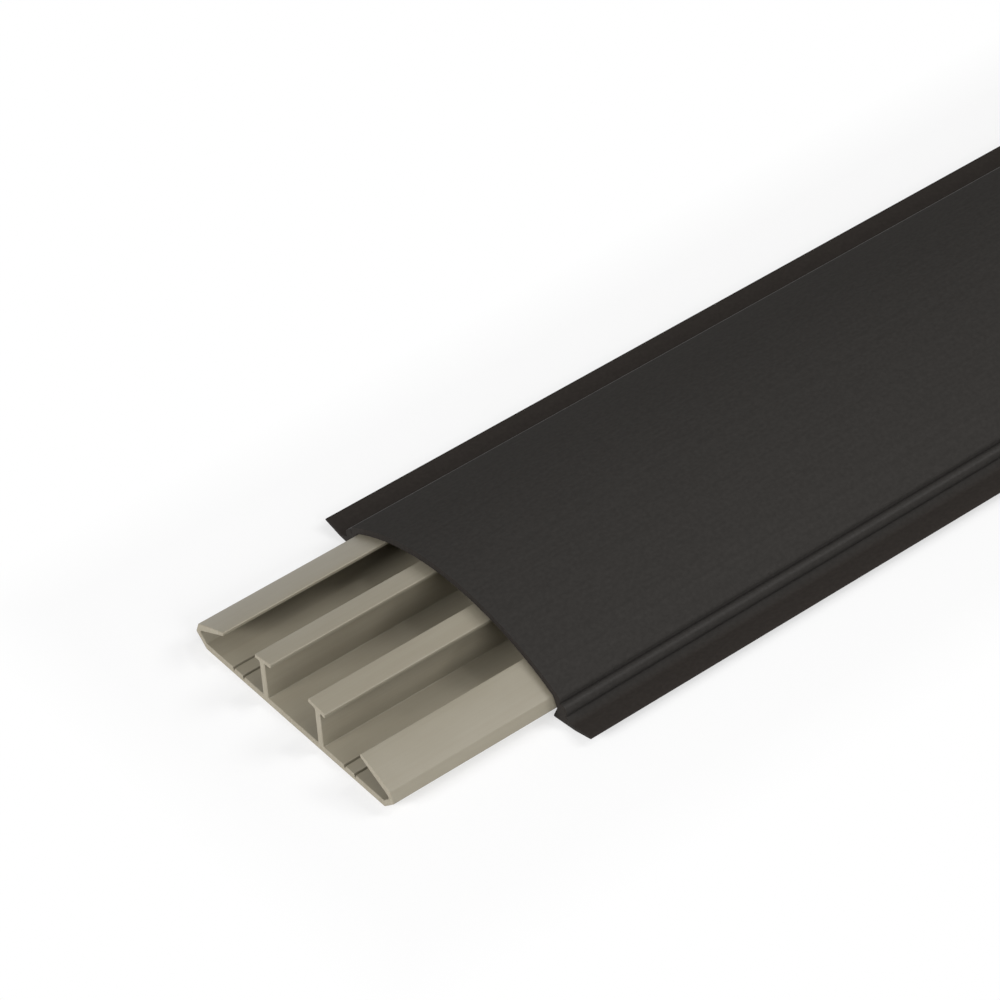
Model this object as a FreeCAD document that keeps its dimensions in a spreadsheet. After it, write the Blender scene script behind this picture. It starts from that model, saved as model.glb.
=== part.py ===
import FreeCAD, Part
import math
import os
import re
import Sketcher

# Floor cable cover: a three-compartment base channel with an arched cover that snaps over it.
# Both pieces are straight extrusions. X runs along the length, Y across it, Z up from the floor.
# The origin is at the middle of the whole part's underside, and the base shows at the -X end.

document = FreeCAD.newDocument("floor_cable_cover")

# The driving dimensions, in millimetres. A size named half is measured from the middle plane.
DIMENSIONS = {
    "base_length": 2000.0,
    "cover_length": 2000.0,
    "cover_setback": 46.0,
    "overall_height": 17.5,
    "base_half": 37.5,
    "chamfer_run": 3.7,
    "corner_height": 3.4,
    "crease_inset": 1.2,
    "side_wall": 1.45,
    "floor_thickness": 1.8,
    "lip_reach": 10.4,
    "lip_radius": 70.0,
    "lip_tip_gap": 0.65,
    "lip_tip_thickness": 1.0,
    "lip_root_height": 4.6,
    "web_inner_half": 9.5,
    "web_thickness": 1.9,
    "flange_inner_reach": 2.4,
    "flange_outer_reach": 1.8,
    "flange_thickness": 1.1,
    "divider_gap": 1.6,
    "score_offset": 7.8,
    "score_spacing": 3.8,
    "score_width": 0.7,
    "score_bottom_width": 0.4,
    "score_depth": 0.9,
    "cover_wall": 1.7,
    "seat_gap": 0.2,
    "side_gap": 0.15,
    "shoulder_height": 7.0,
    "shoulder_wall": 1.15,
    "shoulder_round": 1.0,
    "notch_depth": 0.2,
    "bead_radius": 1.65,
    "bead_offset": 0.65,
    "bead_height": 3.9,
    "bead_foot_drop": 1.1,
    "toe_hook": 1.4,
    "toe_width": 0.9,
    "wing_reach": 10.7,
    "wing_root_height": 1.75,
    "wing_root_width": 4.1,
    "wing_root_round": 2.0,
    "wing_knee_reach": 5.3,
    "wing_knee_lift": 0.9,
    "wing_tip_lift": 2.25,
    "wing_tip_thickness": 0.35,
    "wing_edge_width": 2.3,
    "edge_round": 0.3,
    "corner_round": 0.5,
    "tip_round": 0.12,
    "flange_fillet": 0.4,
    "foot_fillet": 0.15,
    "side_fillet": 0.6,
}
SCORES_PER_COMPARTMENT = 2

sheet = document.addObject("Spreadsheet::Sheet", "Sizes")
for row, (alias, millimetres) in enumerate(DIMENSIONS.items(), start=1):
    sheet.set(f"A{row}", alias)
    sheet.set(f"B{row}", str(millimetres))
    sheet.setAlias(f"B{row}", alias)
document.recompute()


def bound(formula):
    """The formula with each driving dimension written as a cell of the sheet."""
    def cell(match):
        word = match.group()
        return f"Sizes.{word}" if word in DIMENSIONS else word
    return re.sub(r"[a-z_]+", cell, formula)


def number(formula):
    """What the formula gives at the sheet's present sizes, in millimetres."""
    return float(sheet.evalExpression(bound(formula)))


# Places across the section, as distances from the middle plane.
FOOT_HALF = "(base_half - chamfer_run)"
CREASE_HALF = "(base_half - crease_inset)"
LIP_TIP_HALF = f"({CREASE_HALF} - lip_reach)"
WEB_OUTER_HALF = "(web_inner_half + web_thickness)"
FLANGE_INNER_HALF = "(web_inner_half - flange_inner_reach)"
FLANGE_OUTER_HALF = f"({WEB_OUTER_HALF} + flange_outer_reach)"
SHOULDER_HALF = "(base_half + side_gap + shoulder_wall)"
WING_HALF = f"({SHOULDER_HALF} + wing_reach)"

# The arched surfaces of both pieces are arcs about one centre, which lies below the floor.
ARCH_RISE = "(overall_height - shoulder_height)"
ARCH_RADIUS = f"(({SHOULDER_HALF}^2 + {ARCH_RISE}^2) / (2 * {ARCH_RISE}))"
ARCH_CENTRE = ("0", f"overall_height - {ARCH_RADIUS}")
COVER_INSIDE = f"({ARCH_RADIUS} - cover_wall)"
FLANGE_TOP = f"({COVER_INSIDE} - divider_gap)"
FLANGE_UNDERSIDE = f"({FLANGE_TOP} - flange_thickness)"


def on_arch(radius, half):
    """Height of an arched surface at a distance from the middle plane."""
    return f"(overall_height - {ARCH_RADIUS} + sqrt({radius}^2 - {half}^2))"


def origin_plane(body, role):
    """One of the body's own origin planes."""
    return next(plane for plane in body.Origin.OriginFeatures if plane.Role == role)


class Section:
    """A closed half section on the YZ plane: corners joined by lines and arcs."""

    def __init__(self, body, name):
        self.sketch = body.newObject("Sketcher::SketchObject", name)
        self.sketch.AttachmentSupport = [(origin_plane(body, "YZ_Plane"), "")]
        self.sketch.MapMode = "FlatFace"
        self.corners = []
        self.arcs = {}
        self.edges = {}

    def corner(self, name, y, z, hold="yz"):
        """Adds a corner; hold names the coordinates that are dimensioned from the origin."""
        self.corners.append((name, y, z, hold))

    def arc(self, name, y, z, radius, centre, turn, hold="y"):
        """Adds a corner from which the outline runs on along an arc; turn is 1 for left.

        An arc with no centre of its own is set by its radius and its two ends.
        """
        self.arcs[name] = (radius, centre, turn)
        self.corner(name, y, z, hold)

    def dimension(self, kind, places, formula):
        """Adds a dimension and binds it to its formula."""
        index = self.sketch.addConstraint(Sketcher.Constraint(kind, *places, number(formula)))
        self.sketch.setExpression(f"Constraints[{index}]", bound(formula))

    def draw_arc(self, name, start, end):
        """Draws the arc between two points, and dimensions its radius and centre."""
        radius, centre, turn = self.arcs[name]
        if centre:
            middle = FreeCAD.Vector(number(centre[0]), number(centre[1]), 0)
        else:
            chord = end - start
            rise = math.sqrt(number(radius) ** 2 - (chord.Length / 2) ** 2)
            left = FreeCAD.Vector(-chord.y, chord.x, 0).normalize()
            middle = (start + end) / 2 + left * rise * turn
        first, last = (start, end) if turn > 0 else (end, start)
        angles = [math.atan2(p.y - middle.y, p.x - middle.x) for p in (first, last)]
        circle = Part.Circle(middle, FreeCAD.Vector(0, 0, 1), number(radius))
        edge = self.sketch.addGeometry(Part.ArcOfCircle(circle, *angles), False)
        if centre:
            self.dimension("DistanceX", (-1, 1, edge, 3), centre[0])
            self.dimension("DistanceY", (-1, 1, edge, 3), centre[1])
        self.dimension("Radius", (edge,), radius)
        return (edge, 1, 2) if turn > 0 else (edge, 2, 1)

    def close(self):
        """Draws the edges round the corners, joins their ends and dimensions the corners."""
        points = [FreeCAD.Vector(number(y), number(z), 0) for _, y, z, _ in self.corners]
        for place, (name, _, _, _) in enumerate(self.corners):
            start = points[place]
            end = points[(place + 1) % len(points)]
            if name in self.arcs:
                self.edges[name] = self.draw_arc(name, start, end)
            else:
                line = self.sketch.addGeometry(Part.LineSegment(start, end), False)
                self.edges[name] = (line, 1, 2)
        for place, (name, y, z, hold) in enumerate(self.corners):
            edge, start, _ = self.edges[name]
            before, _, end = self.edges[self.corners[place - 1][0]]
            self.sketch.addConstraint(Sketcher.Constraint("Coincident", before, end, edge, start))
            if "y" in hold:
                self.dimension("DistanceX", (-1, 1, edge, start), y)
            if "z" in hold:
                self.dimension("DistanceY", (-1, 1, edge, start), z)

    def offset(self, inner, outer, distance):
        """Keeps an inner edge parallel to an outer one, at a distance."""
        inner_edge, start, _ = self.edges[inner]
        outer_edge = self.edges[outer][0]
        self.sketch.addConstraint(Sketcher.Constraint("Parallel", inner_edge, outer_edge))
        self.dimension("Distance", (inner_edge, start, outer_edge), distance)

    def place(self, name):
        """Where a corner lies once the sketch is solved."""
        edge, start, _ = self.edges[name]
        return self.sketch.getPoint(edge, start)


def extrude(body, section, length):
    """Pads the half section along X and mirrors it across the middle plane."""
    pad = body.newObject("PartDesign::Pad", "half_extrusion")
    pad.Profile = section.sketch
    pad.setExpression("Length", bound(length))
    document.recompute()
    mirror = body.newObject("PartDesign::Mirrored", "whole_extrusion")
    mirror.Originals = [pad]
    mirror.MirrorPlane = (origin_plane(body, "XZ_Plane"), [""])
    body.Tip = mirror
    document.recompute()


def round_edges(body, name, section, corners, radius):
    """Rounds the lengthwise edges that start at the named corners, on both sides."""
    tolerance = 0.01
    feature = body.Tip
    wanted = [section.place(corner) for corner in corners]
    edges = []
    for index, edge in enumerate(feature.Shape.Edges, start=1):
        ends = [vertex.Point for vertex in edge.Vertexes]
        if len(ends) != 2 or abs(ends[0].x - ends[1].x) < tolerance:
            continue
        misses = [math.hypot(abs(ends[0].y) - p.x, ends[0].z - p.y) for p in wanted]
        if min(misses) < tolerance:
            edges.append(f"Edge{index}")
    if len(edges) != 2 * len(corners):
        raise RuntimeError(f"{name} found {len(edges)} edges for {len(corners)} corners")
    rounding = body.newObject("PartDesign::Fillet", name)
    rounding.Base = (feature, edges)
    rounding.setExpression("Radius", bound(radius))
    body.Tip = rounding
    document.recompute()


def base_channel():
    """The strip that lies on the floor: floor plate, two dividers, two leaning lipped sides."""
    body = document.addObject("PartDesign::Body", "base_channel")
    section = Section(body, "channel_section")
    section.corner("underside", "0", "0")
    section.corner("foot", FOOT_HALF, "0")
    section.corner("side", "base_half", "corner_height")
    crease_height = f"{on_arch(COVER_INSIDE, CREASE_HALF)} - seat_gap"
    section.arc("crease", CREASE_HALF, crease_height, "lip_radius", None, 1, "yz")
    tip_height = f"{on_arch(COVER_INSIDE, LIP_TIP_HALF)} - lip_tip_gap"
    section.corner("lip_tip", LIP_TIP_HALF, tip_height)
    section.corner("lip_underside", LIP_TIP_HALF, f"{tip_height} - lip_tip_thickness")
    section.corner("side_inside", f"{CREASE_HALF} - side_wall / 2", "lip_root_height", "z")
    section.corner("chamfer_inside", "base_half - side_wall", "corner_height", "")
    section.corner("outer_floor", FOOT_HALF, "floor_thickness", "z")
    for score in reversed(range(SCORES_PER_COMPARTMENT)):
        middle = f"{WEB_OUTER_HALF} + score_offset + score_spacing * {score}"
        bottom = "floor_thickness - score_depth"
        section.corner(f"score_{score}_outer_edge", f"{middle} + score_width / 2", "floor_thickness")
        section.corner(f"score_{score}_outer_foot", f"{middle} + score_bottom_width / 2", bottom)
        section.corner(f"score_{score}_inner_foot", f"{middle} - score_bottom_width / 2", bottom)
        section.corner(f"score_{score}_inner_edge", f"{middle} - score_width / 2", "floor_thickness")
    section.corner("web_outer_foot", WEB_OUTER_HALF, "floor_thickness")
    section.arc("web_outer_top", WEB_OUTER_HALF, on_arch(FLANGE_UNDERSIDE, WEB_OUTER_HALF),
                FLANGE_UNDERSIDE, ARCH_CENTRE, -1)
    section.corner("flange_outer_under", FLANGE_OUTER_HALF,
                   on_arch(FLANGE_UNDERSIDE, FLANGE_OUTER_HALF), "y")
    section.arc("flange_outer_tip", FLANGE_OUTER_HALF, on_arch(FLANGE_TOP, FLANGE_OUTER_HALF),
                FLANGE_TOP, ARCH_CENTRE, 1)
    section.corner("flange_inner_tip", FLANGE_INNER_HALF,
                   on_arch(FLANGE_TOP, FLANGE_INNER_HALF), "y")
    section.arc("flange_inner_under", FLANGE_INNER_HALF,
                on_arch(FLANGE_UNDERSIDE, FLANGE_INNER_HALF), FLANGE_UNDERSIDE, ARCH_CENTRE, -1)
    section.corner("web_inner_top", "web_inner_half",
                   on_arch(FLANGE_UNDERSIDE, "web_inner_half"), "y")
    section.corner("web_inner_foot", "web_inner_half", "floor_thickness")
    section.corner("middle_floor", "0", "floor_thickness")
    section.close()
    section.offset("side_inside", "side", "side_wall")
    section.offset("chamfer_inside", "foot", "side_wall")
    extrude(body, section, "base_length")
    round_edges(body, "rounded_tips", section, [
        "lip_tip", "lip_underside", "flange_outer_under", "flange_outer_tip",
        "flange_inner_tip", "flange_inner_under"], "edge_round")
    round_edges(body, "rounded_corners", section, ["side", "crease"], "corner_round")
    round_edges(body, "side_fillets", section, [
        "side_inside", "chamfer_inside", "outer_floor"], "side_fillet")
    round_edges(body, "flange_fillets", section, [
        "web_outer_top", "web_inner_top"], "flange_fillet")
    round_edges(body, "foot_fillets", section, [
        "web_outer_foot", "web_inner_foot"], "foot_fillet")
    return body


def snap_cover():
    """The arched cover: a hooked and beaded wall on each side, and a thin wing out from it."""
    body = document.addObject("PartDesign::Body", "snap_cover")
    section = Section(body, "cover_section")
    inner_corner = f"({CREASE_HALF} + side_gap)"
    section.arc("arch_inside", "0", "overall_height - cover_wall", COVER_INSIDE, ARCH_CENTRE, -1)
    section.corner("wall_inside", inner_corner, on_arch(COVER_INSIDE, inner_corner), "y")
    section.corner("hook", "base_half + side_gap", "corner_height")
    section.corner("toe", "base_half - toe_hook", "0")
    section.corner("heel", "base_half - toe_hook + toe_width", "0")
    section.corner("knee", f"{SHOULDER_HALF} + wing_knee_reach", "wing_knee_lift")
    section.corner("wing_tip", WING_HALF, "wing_tip_lift")
    section.corner("wing_tip_top", WING_HALF, "wing_tip_lift + wing_tip_thickness")
    section.corner("wing_edge", f"{WING_HALF} - wing_edge_width",
                   "wing_tip_lift + wing_tip_thickness")
    section.corner("wing_root", f"{SHOULDER_HALF} + wing_root_width", "wing_root_height")
    bead_middle = f"({SHOULDER_HALF} + bead_offset)"
    foot_reach = "sqrt(bead_radius^2 - bead_foot_drop^2)"
    section.arc("bead_foot", f"{bead_middle} + {foot_reach}", "bead_height - bead_foot_drop",
                "bead_radius", (bead_middle, "bead_height"), 1)
    notch = f"({SHOULDER_HALF} - notch_depth)"
    reach = "(bead_offset + notch_depth)"
    section.corner("over_bead", notch, f"bead_height + sqrt(bead_radius^2 - {reach}^2)", "y")
    section.arc("shoulder", SHOULDER_HALF, "shoulder_height", ARCH_RADIUS, ARCH_CENTRE, 1)
    section.corner("middle", "0", "overall_height", "y")
    section.close()
    extrude(body, section, "cover_length")
    round_edges(body, "rounded_shoulder", section, ["shoulder"], "shoulder_round")
    round_edges(body, "rounded_toe", section, ["toe", "hook", "wall_inside"], "edge_round")
    round_edges(body, "rounded_wing", section, ["wing_tip", "wing_tip_top"], "tip_round")
    round_edges(body, "rounded_wing_root", section, ["wing_root"], "wing_root_round")
    return body


OVERALL_LENGTH = "max(base_length; cover_setback + cover_length)"
base = base_channel()
base.Label = "base_channel"
base.setExpression("Placement.Base.x", bound(f"-({OVERALL_LENGTH}) / 2"))
cover = snap_cover()
cover.Label = "snap_cover"
cover.setExpression("Placement.Base.x", bound(f"cover_setback - ({OVERALL_LENGTH}) / 2"))
document.recompute()

for item in document.Objects:
    if "Invalid" in item.State or "Error" in item.State:
        raise RuntimeError(f"{item.Label} did not build: {item.State}")
for body in (base, cover):
    if body.Shape.isNull() or not body.Shape.isValid() or len(body.Shape.Solids) != 1:
        raise RuntimeError(f"{body.Label} is not one sound solid")

os.makedirs("parts", exist_ok=True)
for body in (base, cover):
    body.Shape.exportStep(f"parts/{body.Label}.step")
    box = body.Shape.BoundBox
    print(body.Label, f"volume {body.Shape.Volume / 1000:.1f} cm3, box",
          [round(v, 2) for v in (box.XMin, box.XMax, box.YMin, box.YMax, box.ZMin, box.ZMax)])
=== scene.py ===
import math

import bpy
from mathutils import Matrix, Vector


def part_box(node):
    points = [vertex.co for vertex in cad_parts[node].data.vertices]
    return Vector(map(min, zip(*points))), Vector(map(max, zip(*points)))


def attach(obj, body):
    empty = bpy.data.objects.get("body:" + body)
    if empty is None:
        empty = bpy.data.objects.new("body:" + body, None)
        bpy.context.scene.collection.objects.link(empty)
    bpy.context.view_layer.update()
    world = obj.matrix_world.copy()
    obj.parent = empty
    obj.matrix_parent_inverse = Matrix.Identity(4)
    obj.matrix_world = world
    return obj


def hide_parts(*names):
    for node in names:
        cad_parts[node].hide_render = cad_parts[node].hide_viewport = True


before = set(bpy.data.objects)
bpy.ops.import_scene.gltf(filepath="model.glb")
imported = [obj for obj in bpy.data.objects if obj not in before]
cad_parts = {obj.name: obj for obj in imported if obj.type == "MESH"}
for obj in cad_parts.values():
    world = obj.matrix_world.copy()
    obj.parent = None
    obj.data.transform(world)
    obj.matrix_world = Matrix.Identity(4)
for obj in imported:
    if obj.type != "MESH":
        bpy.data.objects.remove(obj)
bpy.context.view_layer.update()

# Grey base channel: the strip that is stuck or screwed to the floor. It is one extrusion of rigid
# PVC, pigmented warm grey: a scored floor plate, two T-shaped dividers, and side walls that lean
# in to lips which the cover grips. It was sawn off square.

MM = 0.001

# The cover's arch also sets the heights of the base's lips and flanges.
PART_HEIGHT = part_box("snap_cover")[1].z
SHOULDER_HALF = 38.8 * MM
SHOULDER_HEIGHT = 7.0 * MM
COVER_WALL = 1.7 * MM
ARCH_RISE = PART_HEIGHT - SHOULDER_HEIGHT
ARCH_RADIUS = (SHOULDER_HALF ** 2 + ARCH_RISE ** 2) / (2 * ARCH_RISE)
COVER_INSIDE = ARCH_RADIUS - COVER_WALL

# How finely the arches and rounded corners are drawn, and how sharp an edge stays unsmoothed.
ARC_STEP = 1.2 * MM
CORNER_STEPS = 5
CREASE_ANGLE = math.radians(32)

# The sawn edges are broken a little, as by a scraper.
EDGE_BREAK = 0.16 * MM


def on_arch(radius, half):
    """Height of an arched surface at a distance from the middle plane."""
    return PART_HEIGHT - ARCH_RADIUS + math.sqrt(radius ** 2 - half ** 2)


def arch_points(radius, start, end):
    """Corners along an arched surface, between two distances from the middle plane."""
    steps = max(2, round(abs(end - start) / ARC_STEP))
    spots = [start + (end - start) * step / steps for step in range(1, steps)]
    return [(y, on_arch(radius, y), 0.0) for y in spots]


def meet(first, second):
    """Where two lines cross, each given by two points."""
    (p, q), (r, s) = first, second
    return p + (q - p) * ((r - p).cross(s - r) / (q - p).cross(s - r))


def inner_face(start, end, wall):
    """The inner face of a wall, from two points of its outer face going round to the left."""
    left = Vector((start.y - end.y, end.x - start.x)).normalized() * wall
    return start + left, end + left


def whole_outline(half, inset=0.0):
    """The closed outline of a section, with an arc at each corner that has a radius.

    half lists (y, z, radius) round the +Y side, counterclockwise, and the -Y side mirrors it.
    An inset outline is parallel to the outer one, with as many points.
    """
    corners = half + [(-y, z, radius) for y, z, radius in reversed(half) if y > 0]
    moved, turns = [], []
    for place, (y, z, _) in enumerate(corners):
        corner = Vector((y, z))
        before = (corner - Vector(corners[place - 1][:2])).normalized()
        after = (Vector(corners[(place + 1) % len(corners)][:2]) - corner).normalized()
        inwards = Vector((-before.y - after.y, before.x + after.x))
        moved.append(corner + inwards * (inset / (1 + before.dot(after))))
        turns.append(math.copysign(1, before.cross(after)))
    points = []
    for place, corner in enumerate(moved):
        if corners[place][2] == 0:
            points.append(corner)
            continue
        radius = max(0.0, corners[place][2] - inset * turns[place])
        before = (moved[place - 1] - corner).normalized()
        after = (moved[(place + 1) % len(moved)] - corner).normalized()
        half_angle = before.angle(after) / 2
        middle = corner + (before + after).normalized() * (radius / math.sin(half_angle))
        start = corner + before * (radius / math.tan(half_angle)) - middle
        turn = (math.pi - 2 * half_angle) * turns[place]
        for step in range(CORNER_STEPS + 1):
            points.append(middle + Matrix.Rotation(turn * step / CORNER_STEPS, 2) @ start)
    return points


def channel_half():
    """The +Y side of the base's section, counterclockwise from the underside."""
    foot, side = Vector((33.8 * MM, 0)), Vector((37.5 * MM, 3.4 * MM))
    crease_half, tip_half = 36.3 * MM, 25.9 * MM
    side_wall, tip_thickness, lip_root_height = 1.45 * MM, 1.0 * MM, 4.6 * MM
    seat_gap, tip_gap, lip_radius, lip_steps = 0.2 * MM, 0.65 * MM, 70 * MM, 5
    floor_top, score_depth = 1.8 * MM, 0.9 * MM
    score_middles = (23.0 * MM, 19.2 * MM)
    score_mouth_half, score_bottom_half = 0.35 * MM, 0.2 * MM
    web_inner, web_outer = 9.5 * MM, 11.4 * MM
    flange_inner, flange_outer = 7.1 * MM, 13.2 * MM
    flange_gap, flange_thickness = 1.6 * MM, 1.1 * MM
    tip_round, corner_round, crisp_round = 0.3 * MM, 0.5 * MM, 0.1 * MM
    flange_fillet, web_fillet, side_fillet = 0.4 * MM, 0.15 * MM, 0.6 * MM

    flange_top = COVER_INSIDE - flange_gap
    flange_under = flange_top - flange_thickness
    crease = Vector((crease_half, on_arch(COVER_INSIDE, crease_half) - seat_gap))
    lip_tip = Vector((tip_half, on_arch(COVER_INSIDE, tip_half) - tip_gap))
    level = Vector((1, 0))
    side_inside = inner_face(side, crease, side_wall)
    chamfer_inside = inner_face(foot, side, side_wall)
    root_line = (Vector((0, lip_root_height)), Vector((0, lip_root_height)) + level)
    floor_line = (Vector((0, floor_top)), Vector((0, floor_top)) + level)

    # The lip's top swells along a parabola that is as high as an arc of the lip's radius.
    lip_crown = (lip_tip - crease).length_squared / (8 * lip_radius)
    lip = []
    for step in range(1, lip_steps):
        share = step / lip_steps
        spot, _ = inner_face(crease, lip_tip, -4 * lip_crown * share * (1 - share))
        lip.append((*(spot + (lip_tip - crease) * share), 0.0))
    scores = []
    for middle in score_middles:
        scores += [(middle + score_mouth_half, floor_top, crisp_round),
                   (middle + score_bottom_half, floor_top - score_depth, 0.0),
                   (middle - score_bottom_half, floor_top - score_depth, 0.0),
                   (middle - score_mouth_half, floor_top, crisp_round)]
    return [
        (*foot, crisp_round),
        (*side, corner_round),
        (*crease, corner_round),
        *lip,
        (*lip_tip, tip_round),
        (tip_half, lip_tip.y - tip_thickness, tip_round),
        (*meet(side_inside, root_line), side_fillet),
        (*meet(side_inside, chamfer_inside), side_fillet),
        (*meet(chamfer_inside, floor_line), side_fillet),
        *scores,
        (web_outer, floor_top, web_fillet),
        (web_outer, on_arch(flange_under, web_outer), flange_fillet),
        (flange_outer, on_arch(flange_under, flange_outer), tip_round),
        (flange_outer, on_arch(flange_top, flange_outer), tip_round),
        *arch_points(flange_top, flange_outer, flange_inner),
        (flange_inner, on_arch(flange_top, flange_inner), tip_round),
        (flange_inner, on_arch(flange_under, flange_inner), tip_round),
        (web_inner, on_arch(flange_under, web_inner), flange_fillet),
        (web_inner, floor_top, web_fillet),
    ]


def add(tree, kind, settings=None, inputs=None):
    """Adds one node with its settings, and puts values or other nodes' outputs on its inputs."""
    node = tree.nodes.new(kind)
    for name, value in (settings or {}).items():
        setattr(node, name, value)
    for name, value in (inputs or {}).items():
        if isinstance(value, bpy.types.NodeSocket):
            tree.links.new(value, node.inputs[name])
        else:
            node.inputs[name].default_value = value
    return node


def extrusion_tree():
    """Geometry Nodes that draw a flat section out along X and break the edges of its sawn ends.

    The section starts narrowed by the edge break, widens over a first short run, keeps its size
    over the long run, and narrows again over a last short one.
    """
    merge_distance = 0.001 * MM
    least_end_facing = 0.5
    tree = bpy.data.node_groups.new("extrude_section", "GeometryNodeTree")
    for name, kind in (("Section", "Geometry"), ("Near end", "Float"), ("Length", "Float"),
                       ("Edge break", "Float"), ("Crease angle", "Float"),
                       ("Drawn skin", "Material"), ("Sawn end", "Material")):
        tree.interface.new_socket(name, in_out="INPUT", socket_type=f"NodeSocket{kind}")
    tree.interface.new_socket("Profile", in_out="OUTPUT", socket_type="NodeSocketGeometry")
    given = tree.nodes.new("NodeGroupInput").outputs

    inward = add(tree, "GeometryNodeInputNamedAttribute", {"data_type": "FLOAT_VECTOR"},
                 {"Name": "inward"}).outputs["Attribute"]
    narrowed = add(tree, "ShaderNodeVectorMath", {"operation": "SCALE"},
                   {0: inward, "Scale": given["Edge break"]}).outputs[0]
    widened = add(tree, "ShaderNodeVectorMath", {"operation": "SCALE"},
                  {0: narrowed, "Scale": -1.0}).outputs[0]
    near_end = add(tree, "ShaderNodeCombineXYZ", None, {"X": given["Near end"]}).outputs[0]
    started = add(tree, "ShaderNodeVectorMath", {"operation": "ADD"},
                  {0: narrowed, 1: near_end}).outputs[0]
    long_run = add(tree, "ShaderNodeMath", {"operation": "MULTIPLY_ADD"},
                   {0: given["Edge break"], 1: -2.0, 2: given["Length"]}).outputs[0]
    drawn = add(tree, "GeometryNodeSetPosition", None,
                {"Geometry": given["Section"], "Offset": started}).outputs["Geometry"]
    near_cap = add(tree, "GeometryNodeFlipFaces", None, {"Mesh": drawn}).outputs["Mesh"]
    front = True
    for run, change in ((given["Edge break"], widened), (long_run, None),
                        (given["Edge break"], narrowed)):
        along = add(tree, "ShaderNodeCombineXYZ", None, {"X": run}).outputs[0]
        pulled = add(tree, "GeometryNodeExtrudeMesh", {"mode": "FACES"},
                     {"Mesh": drawn, "Selection": front, "Offset": along, "Individual": False})
        drawn, front = pulled.outputs["Mesh"], pulled.outputs["Top"]
        if change:
            drawn = add(tree, "GeometryNodeSetPosition", None, {
                "Geometry": drawn, "Selection": front, "Offset": change}).outputs["Geometry"]
    joined = add(tree, "GeometryNodeJoinGeometry", None, {"Geometry": drawn})
    tree.links.new(near_cap, joined.inputs["Geometry"])
    closed = add(tree, "GeometryNodeMergeByDistance", None,
                 {"Geometry": joined.outputs["Geometry"], "Distance": merge_distance})

    smooth = add(tree, "GeometryNodeSetShadeSmooth", {"domain": "FACE"},
                 {"Geometry": closed.outputs["Geometry"], "Shade Smooth": True})
    bend = add(tree, "GeometryNodeInputMeshEdgeAngle").outputs["Unsigned Angle"]
    sharp = add(tree, "ShaderNodeMath", {"operation": "GREATER_THAN"},
                {0: bend, 1: given["Crease angle"]}).outputs[0]
    creased = add(tree, "GeometryNodeSetShadeSmooth", {"domain": "EDGE"},
                  {"Geometry": smooth.outputs["Geometry"], "Selection": sharp,
                   "Shade Smooth": False})
    real = add(tree, "GeometryNodeRealizeInstances", None,
               {"Geometry": creased.outputs["Geometry"]})
    skin = add(tree, "GeometryNodeSetMaterial", None,
               {"Geometry": real.outputs["Geometry"], "Material": given["Drawn skin"]})
    facing = add(tree, "ShaderNodeSeparateXYZ", None,
                 {0: add(tree, "GeometryNodeInputNormal").outputs["Normal"]}).outputs["X"]
    end_facing = add(tree, "ShaderNodeMath", {"operation": "ABSOLUTE"}, {0: facing}).outputs[0]
    sawn = add(tree, "ShaderNodeMath", {"operation": "GREATER_THAN"},
               {0: end_facing, 1: least_end_facing}).outputs[0]
    ends = add(tree, "GeometryNodeSetMaterial", None,
               {"Geometry": skin.outputs["Geometry"], "Selection": sawn,
                "Material": given["Sawn end"]})
    add(tree, "NodeGroupOutput", None, {"Profile": ends.outputs["Geometry"]})
    return tree


EXTRUDE = extrusion_tree()


def extruded(name, half, node, drawn_skin, sawn_end):
    """One profile as a plain mesh: its section drawn out over the length of its CAD node."""
    outline = whole_outline(half)
    broken = whole_outline(half, EDGE_BREAK)
    mesh = bpy.data.meshes.new(name)
    mesh.from_pydata([(0, y, z) for y, z in outline], [], [range(len(outline))])
    mesh.materials.append(drawn_skin)
    mesh.materials.append(sawn_end)
    inward = mesh.attributes.new("inward", "FLOAT_VECTOR", "POINT")
    for place, (outer, inner) in enumerate(zip(outline, broken)):
        inward.data[place].vector = (0, *((inner - outer) / EDGE_BREAK))
    low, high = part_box(node)
    sizes = {"Near end": low.x, "Length": high.x - low.x, "Edge break": EDGE_BREAK,
             "Crease angle": CREASE_ANGLE, "Drawn skin": drawn_skin, "Sawn end": sawn_end}
    holder = bpy.data.objects.new(f"{name}_section", mesh)
    bpy.context.scene.collection.objects.link(holder)
    modifier = holder.modifiers.new("extrude", "NODES")
    modifier.node_group = EXTRUDE
    for item in EXTRUDE.interface.items_tree:
        if item.name in sizes:
            modifier[item.identifier] = sizes[item.name]
    bpy.context.view_layer.update()
    drawn = holder.evaluated_get(bpy.context.evaluated_depsgraph_get())
    plain = bpy.data.meshes.new_from_object(drawn)
    bpy.data.objects.remove(holder)
    plain.attributes.remove(plain.attributes["inward"])
    piece = bpy.data.objects.new(name, plain)
    bpy.context.scene.collection.objects.link(piece)
    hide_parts(node)
    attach(piece, "root")
    return piece


def colour(code):
    """The linear colour, with alpha, of an sRGB hex value."""
    parts = [int(code[place:place + 2], 16) / 255 for place in (1, 3, 5)]
    return (*[p / 12.92 if p <= 0.04045 else ((p + 0.055) / 1.055) ** 2.4 for p in parts], 1.0)


def pattern(tree, size, detail=2.0):
    """Noise whose blotches have a size of their own along X, Y and Z, in metres."""
    place = add(tree, "ShaderNodeTexCoord").outputs["Object"]
    scaled = add(tree, "ShaderNodeMapping", {"vector_type": "POINT"},
                 {"Vector": place, "Scale": [1 / length for length in size]}).outputs["Vector"]
    return add(tree, "ShaderNodeTexNoise", None,
               {"Vector": scaled, "Scale": 1.0, "Detail": detail}).outputs["Fac"]


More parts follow.
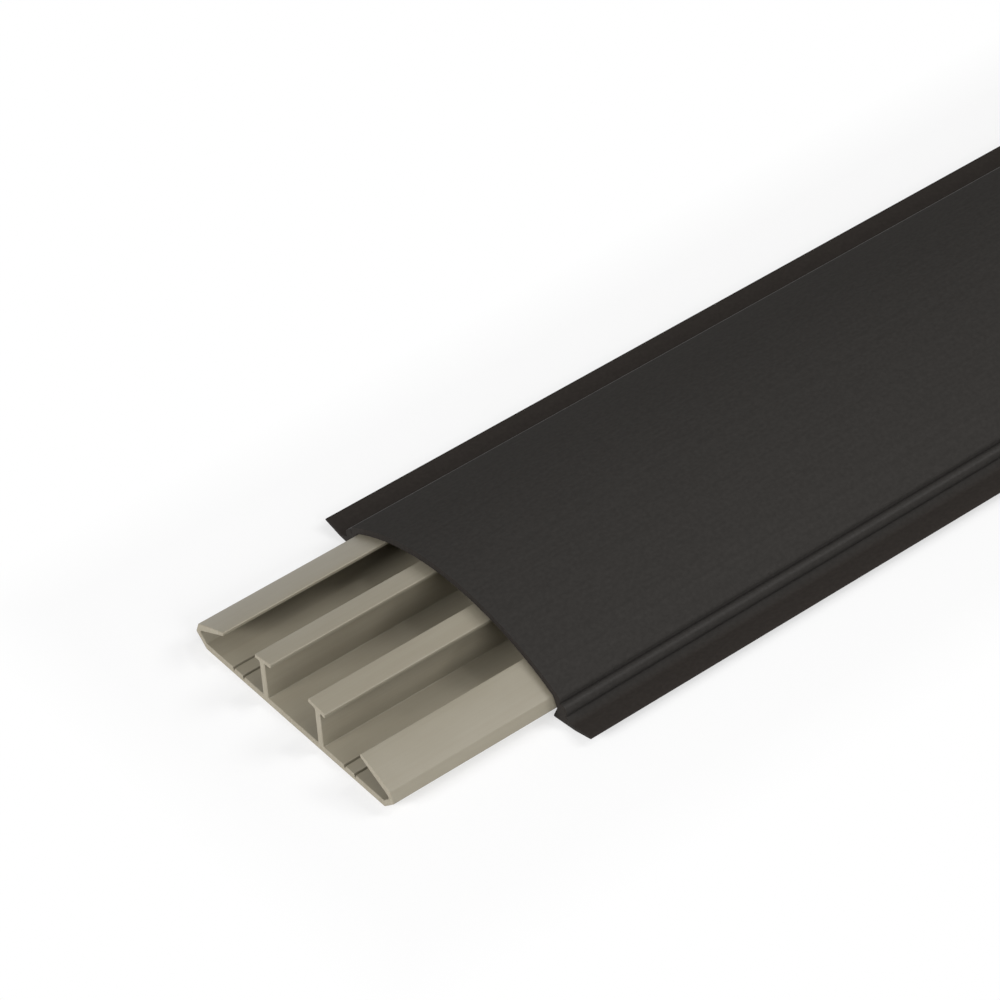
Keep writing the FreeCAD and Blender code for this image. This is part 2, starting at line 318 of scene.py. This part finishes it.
def shades(tree, factor, dark, pale):
    """Pigment that goes from one shade to another over the middle of a pattern's range."""
    node = add(tree, "ShaderNodeValToRGB", None, {"Fac": factor})
    node.color_ramp.elements[0].position, node.color_ramp.elements[1].position = 0.3, 0.7
    node.color_ramp.elements[0].color, node.color_ramp.elements[1].color = dark, pale
    return node.outputs["Color"]


def drawn_relief(tree, draw_lines, grain, depth, line_strength, grain_strength):
    """The skin's normal: draw lines over a fine grain, both of the same depth in metres."""
    under = add(tree, "ShaderNodeBump", None,
                {"Height": grain, "Distance": depth, "Strength": grain_strength})
    return add(tree, "ShaderNodeBump", None,
               {"Height": draw_lines, "Distance": depth, "Strength": line_strength,
                "Normal": under.outputs["Normal"]}).outputs["Normal"]


def tooth_marks(tree):
    """The saw's marks, streaks that run up the end face: their pattern and their normal."""
    tooth_spacing, streak_height, depth, strength = 0.25 * MM, 6 * MM, 0.03 * MM, 0.6
    unchanged_along = 1.0
    marks = pattern(tree, (unchanged_along, tooth_spacing, streak_height))
    normal = add(tree, "ShaderNodeBump", None,
                 {"Height": marks, "Distance": depth, "Strength": strength}).outputs["Normal"]
    return marks, normal


def surface(name):
    """An empty material with its shader, ready for its patterns."""
    material = bpy.data.materials.new(name)
    material.use_nodes = True
    return material, material.node_tree, material.node_tree.nodes["Principled BSDF"]


RIGID_PVC_IOR = 1.53


def extruded_grey_pvc():
    """Rigid PVC as it leaves the die: a satin skin with faint draw lines along the length.

    The real lines and grain are finer, and are drawn here as coarse as they need to be to show.
    """
    line_length, line_width = 400 * MM, 0.7 * MM
    cloud_length, cloud_width = 14 * MM, 5 * MM
    grain_length, grain_width = 0.5 * MM, 0.35 * MM
    depth, line_strength, grain_strength = 0.01 * MM, 0.3, 0.5
    material, tree, shader = surface("grey_pvc_extruded")
    draw_lines = pattern(tree, (line_length, line_width, line_width))
    cloud = pattern(tree, (cloud_length, cloud_width, cloud_width), 3.0)
    grain = pattern(tree, (grain_length, grain_width, grain_width))
    lines = shades(tree, draw_lines, colour("#8e8777"), colour("#908a7a"))
    tint = add(tree, "ShaderNodeMix", {"data_type": "RGBA", "blend_type": "MULTIPLY"},
               {"Factor": 1.0, 6: lines,
                7: shades(tree, cloud, colour("#f8f7f5"), colour("#ffffff"))})
    shader.inputs["Roughness"].default_value = 0.45
    shader.inputs["IOR"].default_value = RIGID_PVC_IOR
    tree.links.new(tint.outputs[2], shader.inputs["Base Color"])
    normal = drawn_relief(tree, draw_lines, grain, depth, line_strength, grain_strength)
    tree.links.new(normal, shader.inputs["Normal"])
    return material


def sawn_grey_pvc():
    """The same PVC where the saw went through: duller and more uneven, with tooth marks."""
    material, tree, shader = surface("grey_pvc_sawn")
    marks, normal = tooth_marks(tree)
    tree.links.new(shades(tree, marks, colour("#847c6b"), colour("#8f897a")),
                   shader.inputs["Base Color"])
    shader.inputs["Roughness"].default_value = 0.7
    shader.inputs["IOR"].default_value = RIGID_PVC_IOR
    tree.links.new(normal, shader.inputs["Normal"])
    return material


base_channel = extruded("base_channel_profile", channel_half(), "base_channel",
                        extruded_grey_pvc(), sawn_grey_pvc())

# Black snap cover: the arched lid that is pressed over the base until the hooked toes of its side
# walls catch under the base's corners. One extrusion of rigid PVC, pigmented black, with a bead
# along each wall and a thin wing that reaches out just above the floor.

BEAD_HALF = SHOULDER_HALF + 0.65 * MM


def cover_half():
    """The +Y side of the cover's section, counterclockwise from the inside of the arch."""
    inner_corner, wall_half, hook_height = 36.45 * MM, 37.65 * MM, 3.4 * MM
    toe, heel, knee = (36.1 * MM, 0.0), (37.0 * MM, 0.0), (44.1 * MM, 0.9 * MM)
    wing_reach, wing_edge_width = 10.7 * MM, 2.3 * MM
    wing_tip_height, wing_edge_height = 2.25 * MM, 0.35 * MM
    root_reach, root_height = 4.1 * MM, 1.75 * MM
    bead_height, bead_radius, bead_foot_drop = 3.9 * MM, 1.65 * MM, 1.1 * MM
    notch_depth, bead_steps = 0.2 * MM, 16
    hook_round, thin_round = 0.3 * MM, 0.12 * MM
    shoulder_round, root_round = 1.0 * MM, 2.0 * MM

    wing_half = SHOULDER_HALF + wing_reach
    wing_top_height = wing_tip_height + wing_edge_height
    bead_middle = Vector((BEAD_HALF, bead_height))
    bead_first = -math.asin(bead_foot_drop / bead_radius)
    bead_last = math.acos((SHOULDER_HALF - notch_depth - bead_middle.x) / bead_radius)
    bead = []
    for step in range(bead_steps + 1):
        angle = bead_first + (bead_last - bead_first) * step / bead_steps
        spot = bead_middle + Vector((math.cos(angle), math.sin(angle))) * bead_radius
        bead.append((*spot, 0.0))
    return [
        (0.0, PART_HEIGHT - COVER_WALL, 0.0),
        *arch_points(COVER_INSIDE, 0.0, inner_corner),
        (inner_corner, on_arch(COVER_INSIDE, inner_corner), hook_round),
        (wall_half, hook_height, hook_round),
        (*toe, hook_round),
        (*heel, 0.0),
        (*knee, 0.0),
        (wing_half, wing_tip_height, thin_round),
        (wing_half, wing_top_height, thin_round),
        (wing_half - wing_edge_width, wing_top_height, 0.0),
        (SHOULDER_HALF + root_reach, root_height, root_round),
        *bead,
        (SHOULDER_HALF, SHOULDER_HEIGHT, shoulder_round),
        *arch_points(ARCH_RADIUS, SHOULDER_HALF, 0.0),
        (0.0, PART_HEIGHT, 0.0),
    ]


def extruded_black_pvc():
    """Rigid PVC filled black: matt, a weak shine along the bead, and painted shade on the wings.

    The real lines and grain are finer, and are drawn here as coarse as they need to be to show.
    """
    line_length, line_width = 500 * MM, 1.2 * MM
    speckle_length, speckle_width = 1.1 * MM, 0.9 * MM
    grain_width = 0.6 * MM
    depth, line_strength, grain_strength = 0.02 * MM, 0.4, 0.6
    wing_shade_start, wing_shade_fade = SHOULDER_HALF + 2.5 * MM, 2 * MM
    crown_offset, shiny_half, matt_half = 0.3 * MM, 0.7 * MM, 0.95 * MM
    bead_roughness, matt_roughness = 0.3, 1.0
    material, tree, shader = surface("black_pvc_extruded")
    draw_lines = pattern(tree, (line_length, line_width, line_width))
    speckle = pattern(tree, (speckle_length, speckle_width, speckle_width), 3.0)
    grain = pattern(tree, (grain_width, grain_width, grain_width), 3.0)
    lines = shades(tree, draw_lines, colour("#373533"), colour("#393735"))
    across = add(tree, "ShaderNodeSeparateXYZ", None,
                 {0: add(tree, "ShaderNodeTexCoord").outputs["Object"]}).outputs["Y"]
    half = add(tree, "ShaderNodeMath", {"operation": "ABSOLUTE"}, {0: across}).outputs[0]
    # Painted shade: the wings are coloured darker and browner than the top, for the arch wall's
    # shade.
    painted_wing_shade = add(tree, "ShaderNodeMapRange", None,
                  {"Value": half, "From Min": wing_shade_start, "From Max": wing_shade_start + wing_shade_fade}
                  ).outputs["Result"]
    body = add(tree, "ShaderNodeMix", {"data_type": "RGBA"},
               {"Factor": painted_wing_shade, 6: lines, 7: colour("#34302d")})
    tint = add(tree, "ShaderNodeMix", {"data_type": "RGBA", "blend_type": "MULTIPLY"},
               {"Factor": 1.0, 6: body.outputs[2],
                7: shades(tree, speckle, colour("#ececec"), colour("#ffffff"))})
    from_crown = add(tree, "ShaderNodeMath", {"operation": "SUBTRACT"},
                     {0: half, 1: BEAD_HALF + crown_offset}).outputs[0]
    beside_crown = add(tree, "ShaderNodeMath", {"operation": "ABSOLUTE"},
                       {0: from_crown}).outputs[0]
    rough = add(tree, "ShaderNodeMapRange", None,
                {"Value": beside_crown, "From Min": shiny_half, "From Max": matt_half,
                 "To Min": bead_roughness, "To Max": matt_roughness}).outputs["Result"]
    tree.links.new(rough, shader.inputs["Roughness"])
    shader.inputs["IOR"].default_value = RIGID_PVC_IOR
    shader.inputs["Specular IOR Level"].default_value = 0.04
    tree.links.new(tint.outputs[2], shader.inputs["Base Color"])
    normal = drawn_relief(tree, draw_lines, grain, depth, line_strength, grain_strength)
    tree.links.new(normal, shader.inputs["Normal"])
    return material


def sawn_black_pvc():
    """The black PVC where the saw went through: dull, with tooth marks."""
    material, tree, shader = surface("black_pvc_sawn")
    marks, normal = tooth_marks(tree)
    tree.links.new(shades(tree, marks, colour("#23201d"), colour("#2b2826")),
                   shader.inputs["Base Color"])
    shader.inputs["Roughness"].default_value = 0.8
    shader.inputs["IOR"].default_value = RIGID_PVC_IOR
    shader.inputs["Specular IOR Level"].default_value = 0.1
    tree.links.new(normal, shader.inputs["Normal"])
    return material


snap_cover = extruded("snap_cover_profile", cover_half(), "snap_cover",
                      extruded_black_pvc(), sawn_black_pvc())

# Floor and soft boxes: a pale floor that runs out of view, four lamps and a white surround. The
# floor and the surround read as white. The floor glows less close to the object than further off,
# so that it keeps the object's soft shadow.

FLOOR_SIZE = 30.0
NEAR_GLOW = 0.6
SHADOW_WIDTH = 20 * MM
SURROUND_LIGHT = 0.16
NEAR_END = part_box("base_channel")[0].x
COVER_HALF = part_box("snap_cover")[1].y


def seen_directly(tree):
    """One for rays from the eye, and for those that gloss or clear material passes on to it."""
    path = add(tree, "ShaderNodeLightPath").outputs
    eye = add(tree, "ShaderNodeMath", {"operation": "MAXIMUM"},
              {0: path["Is Camera Ray"], 1: path["Is Glossy Ray"]}).outputs[0]
    return add(tree, "ShaderNodeMath", {"operation": "MAXIMUM"},
               {0: eye, 1: path["Is Transmission Ray"]}).outputs[0]


def white_floor():
    """Matt white board: plain white to the eye, with a soft and pale shadow beside the object."""
    material, tree, shader = surface("matt_white_board")
    shader.inputs["Base Color"].default_value = colour("#fdfdfd")
    shader.inputs["Roughness"].default_value = 0.9
    shader.inputs["Specular IOR Level"].default_value = 0.0

    # Away from the object is counted from the middle plane, and past an end as beside the cover.
    place = add(tree, "ShaderNodeSeparateXYZ", None,
                {0: add(tree, "ShaderNodeTexCoord").outputs["Object"]}).outputs
    aside = add(tree, "ShaderNodeMath", {"operation": "ABSOLUTE"}, {0: place["Y"]}).outputs[0]
    along = add(tree, "ShaderNodeMath", {"operation": "ABSOLUTE"}, {0: place["X"]}).outputs[0]
    past_end = add(tree, "ShaderNodeMath", {"operation": "ADD"},
                   {0: along, 1: NEAR_END + COVER_HALF}).outputs[0]
    away = add(tree, "ShaderNodeMath", {"operation": "MAXIMUM"},
               {0: aside, 1: past_end}).outputs[0]
    share = add(tree, "ShaderNodeMapRange", None,
                {"Value": away, "From Min": COVER_HALF + SHADOW_WIDTH,
                 "From Max": COVER_HALF + 2 * SHADOW_WIDTH, "To Min": NEAR_GLOW, "To Max": 1.0}
                ).outputs["Result"]
    glow = add(tree, "ShaderNodeEmission", None,
               {"Color": colour("#ffffff"), "Strength": 1.0}).outputs[0]
    amount = add(tree, "ShaderNodeMath", {"operation": "MULTIPLY"},
                 {0: seen_directly(tree), 1: share}).outputs[0]
    mixed = add(tree, "ShaderNodeMixShader", None,
                {0: amount, 1: shader.outputs[0], 2: glow}).outputs[0]
    tree.links.new(mixed, tree.nodes["Material Output"].inputs["Surface"])
    return material


def floor():
    """The floor that the object lies on."""
    mesh = bpy.data.meshes.new("floor")
    half = FLOOR_SIZE / 2
    mesh.from_pydata([(-half, -half, 0), (half, -half, 0), (half, half, 0), (-half, half, 0)],
                     [], [(0, 1, 2, 3)])
    mesh.materials.append(white_floor())
    plane = bpy.data.objects.new("floor", mesh)
    bpy.context.scene.collection.objects.link(plane)


def soft_box(name, place, width, height, share):
    """A broad lamp that looks at the open end of the base.

    place is measured from there. A white face turned to the lamp gets that share of full white.
    """
    lamp = bpy.data.lights.new(name, "AREA")
    lamp.shape, lamp.size, lamp.size_y = "RECTANGLE", width, height
    lamp.energy = share * math.pi ** 2 * Vector(place).length_squared
    holder = bpy.data.objects.new(name, lamp)
    target = Vector((NEAR_END, 0, 0))
    holder.location = target + Vector(place)
    holder.rotation_euler = (-Vector(place)).to_track_quat("-Z", "Y").to_euler()
    bpy.context.scene.collection.objects.link(holder)


def surround():
    """Even light from all round, seen as plain white."""
    world = bpy.data.worlds.new("surround")
    world.use_nodes = True
    tree = world.node_tree
    tree.nodes.clear()
    fill = add(tree, "ShaderNodeBackground", None,
               {"Color": colour("#ffffff"), "Strength": SURROUND_LIGHT})
    white = add(tree, "ShaderNodeBackground", None, {"Color": colour("#ffffff"), "Strength": 1.0})
    mixed = add(tree, "ShaderNodeMixShader", None,
                {0: seen_directly(tree), 1: fill.outputs[0], 2: white.outputs[0]})
    add(tree, "ShaderNodeOutputWorld", None, {"Surface": mixed.outputs[0]})
    bpy.context.scene.world = world


floor()
surround()
soft_box("rear_soft_box", (1.5, -1.0, 1.4), width=0.8, height=0.6, share=0.25)
soft_box("near_soft_box", (-2, 0, 0.9), width=1.0, height=0.6, share=1.0)
soft_box("side_soft_box", (0, -2, 1), width=1.2, height=0.8, share=0.35)
soft_box("high_soft_box", (0.9, -0.45, 1.75), width=0.35, height=0.35, share=0.12)

# Camera: it stands where the photograph was taken from, which was worked out from the parallel
# edges of the two profiles and the sawn end. Places in the picture are in pixels of its frame.

FRAME = 1000
LENS_PIXELS = 4271.2
HEADING = math.radians(54.034)
PITCH = math.radians(41.128)
ROLL = math.radians(-3.868)
DISTANCE = 0.96217
AIM_PIXEL = (293.75, 726.27)


def camera():
    """Puts the camera so that the middle of the base's near end falls on the aim pixel."""
    right = Vector((math.sin(HEADING), -math.cos(HEADING), 0))
    ahead = Vector((math.cos(PITCH) * math.cos(HEADING), math.cos(PITCH) * math.sin(HEADING),
                    -math.sin(PITCH)))
    up = right.cross(ahead)
    rolled_right = right * math.cos(ROLL) + up * math.sin(ROLL)
    rolled_up = up * math.cos(ROLL) - right * math.sin(ROLL)
    across, down = ((pixel - FRAME / 2) / LENS_PIXELS for pixel in AIM_PIXEL)
    data = bpy.data.cameras.new("camera")
    data.sensor_width = 36.0
    data.lens = data.sensor_width * LENS_PIXELS / FRAME
    data.clip_start, data.clip_end = 0.01, 50
    holder = bpy.data.objects.new("camera", data)
    place = -(ahead + rolled_right * across - rolled_up * down) * DISTANCE
    holder.location = place + Vector((NEAR_END, 0, 0))
    holder.rotation_euler = Matrix((rolled_right, rolled_up, -ahead)).transposed().to_euler()
    bpy.context.scene.collection.objects.link(holder)
    bpy.context.scene.camera = holder


camera()
bpy.context.scene.view_settings.view_transform = "Standard"
